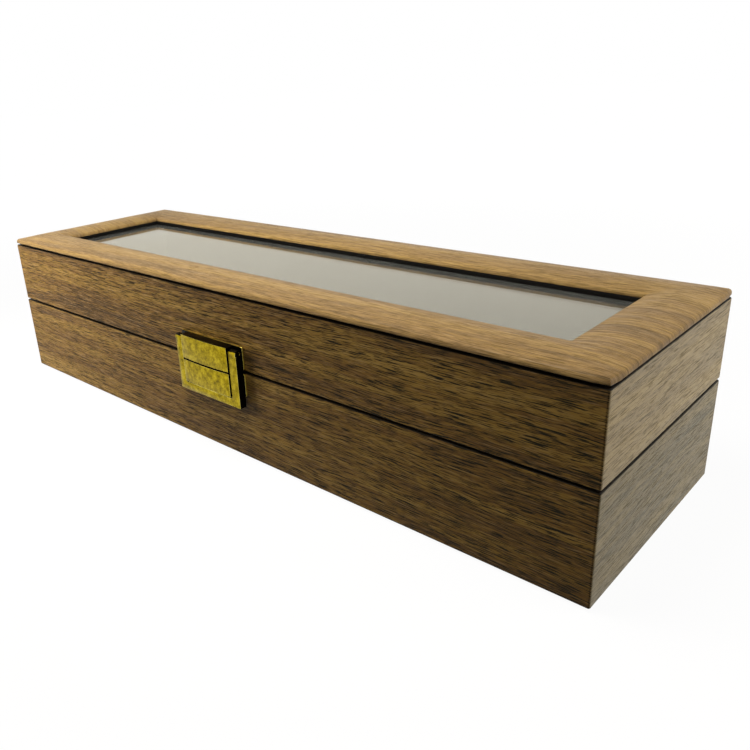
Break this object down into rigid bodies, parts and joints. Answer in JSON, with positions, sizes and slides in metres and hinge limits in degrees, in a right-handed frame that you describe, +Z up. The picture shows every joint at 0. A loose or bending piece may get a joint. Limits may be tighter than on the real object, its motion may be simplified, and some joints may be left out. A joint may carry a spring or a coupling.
{
  "type": "pocket watch display box",
  "caption": "Long leather-wrapped case with a padded, glazed lid on stop hinges, a swinging clasp and a row of cushioned compartments for pocket watches.",
  "frame": {"origin": "centre of the underside, on the surface the box stands on", "axes": "+X along the box, -Y the clasp side, +Y the hinge side, +Z up"},
  "size_m": [0.3608, 0.1193, 0.0818],
  "materials": {
    "wall_leather": "satin grained leather cloth printed with a straight walnut grain",
    "top_leather": "satin grained leather cloth printed with a straight walnut grain",
    "board": "raw fibreboard",
    "velvet": "short-pile velvet",
    "cushion_velvet": "short-pile velvet",
    "felt": "pressed felt",
    "glass": "clear float glass",
    "foam": "open-cell foam sheet",
    "black_card": "black paper-covered card",
    "hinge_brass": "antique brass plating",
    "antique_brass": "antique brass plating with dark patina"
  },
  "bodies": {
    "base": {"base_back_board": "board", "base_back_lining": "velvet", "base_floor_board": "board", "base_floor_lining": "velvet", "base_front_board": "board", "base_front_lining": "velvet", "base_left_board": "board", "base_left_lining": "velvet", "base_right_board": "board", "base_right_lining": "velvet", "base_sole": "felt", "base_wrap": "wall_leather", "clasp_catch_plate": "antique_brass", "clasp_catch_ridge": "antique_brass", "clasp_catch_screws": "antique_brass", "divider_1": "velvet", "divider_2": "velvet", "divider_3": "velvet", "divider_4": "velvet", "divider_5": "velvet", "hinge_base_leaf_left": "hinge_brass", "hinge_base_leaf_right": "hinge_brass", "hinge_base_screws": "hinge_brass", "hinge_pin_left": "hinge_brass", "hinge_pin_right": "hinge_brass"},
    "lid": {"clasp_hanger_cover": "antique_brass", "clasp_hanger_plate": "antique_brass", "clasp_hanger_screws": "antique_brass", "clasp_pivot_pins": "antique_brass", "hinge_lid_leaf_left": "hinge_brass", "hinge_lid_leaf_right": "hinge_brass", "hinge_lid_screws": "hinge_brass", "lid_back_board": "board", "lid_back_lining": "velvet", "lid_front_board": "board", "lid_front_lining": "velvet", "lid_left_board": "board", "lid_left_lining": "velvet", "lid_right_board": "board", "lid_right_lining": "velvet", "lid_wrap": "wall_leather", "top_board": "board", "top_cover": "top_leather", "top_padding": "foam", "top_spacer": "black_card", "window_edging": "black_card", "window_glass": "glass"},
    "hasp": {"clasp_hasp_frame": "antique_brass", "clasp_hasp_panel": "antique_brass", "clasp_hasp_spring": "antique_brass"},
    "cushion_1": {"cushion_1": "cushion_velvet"},
    "cushion_2": {"cushion_2": "cushion_velvet"},
    "cushion_3": {"cushion_3": "cushion_velvet"},
    "cushion_4": {"cushion_4": "cushion_velvet"},
    "cushion_5": {"cushion_5": "cushion_velvet"},
    "cushion_6": {"cushion_6": "cushion_velvet"}
  },
  "joints": [
    {"name": "lid_hinge", "type": "hinge", "parent": "base", "child": "lid", "pos_m": [0, 0.05595, 0.0438], "axis": [-1, 0, 0], "range_deg": [0, 95]},
    {"name": "hasp_swing", "type": "hinge", "parent": "lid", "child": "hasp", "pos_m": [0, -0.05685, 0.053], "axis": [-1, 0, 0], "range_deg": [0, 170]},
    {"name": "cushion_1_lift", "type": "slide", "parent": "base", "child": "cushion_1", "axis": [0, 0, 1], "range_m": [0, 0.04]},
    {"name": "cushion_2_lift", "type": "slide", "parent": "base", "child": "cushion_2", "axis": [0, 0, 1], "range_m": [0, 0.04]},
    {"name": "cushion_3_lift", "type": "slide", "parent": "base", "child": "cushion_3", "axis": [0, 0, 1], "range_m": [0, 0.04]},
    {"name": "cushion_4_lift", "type": "slide", "parent": "base", "child": "cushion_4", "axis": [0, 0, 1], "range_m": [0, 0.04]},
    {"name": "cushion_5_lift", "type": "slide", "parent": "base", "child": "cushion_5", "axis": [0, 0, 1], "range_m": [0, 0.04]},
    {"name": "cushion_6_lift", "type": "slide", "parent": "base", "child": "cushion_6", "axis": [0, 0, 1], "range_m": [0, 0.04]}
  ]
}
